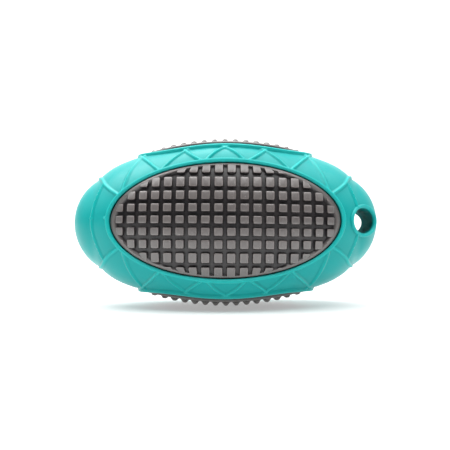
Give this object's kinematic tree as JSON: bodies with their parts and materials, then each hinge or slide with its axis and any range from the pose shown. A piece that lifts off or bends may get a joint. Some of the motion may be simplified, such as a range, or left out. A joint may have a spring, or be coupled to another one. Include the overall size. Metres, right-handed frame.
{
  "type": "rubber curry brush",
  "caption": "Hand-held oval curry brush: a four-sided shell frame with ribbed corners, crowned waffle and studded rubber pads on its sides, and a hang hole in one end.",
  "frame": {"origin": "centre of the whole brush, where its three planes of symmetry meet", "axes": "+X along the brush towards the end with the hang hole, -Y out of the front waffle pad, +Z out of the top studded pad"},
  "size_m": [0.15, 0.0816, 0.0816],
  "materials": {
    "frame": "satin moulded teal elastomer with raised lines",
    "pad": "matt warm grey moulded rubber",
    "core": "plain moulded carrier, hidden",
    "screws": "plain zinc-coated, hidden"
  },
  "bodies": {
    "root": {"front_frame": "frame", "back_frame": "frame", "front_pad": "pad", "back_pad": "pad", "top_pad": "pad", "bottom_pad": "pad", "front_core": "core", "back_core": "core", "core_screws": "screws"}
  },
  "joints": []
}
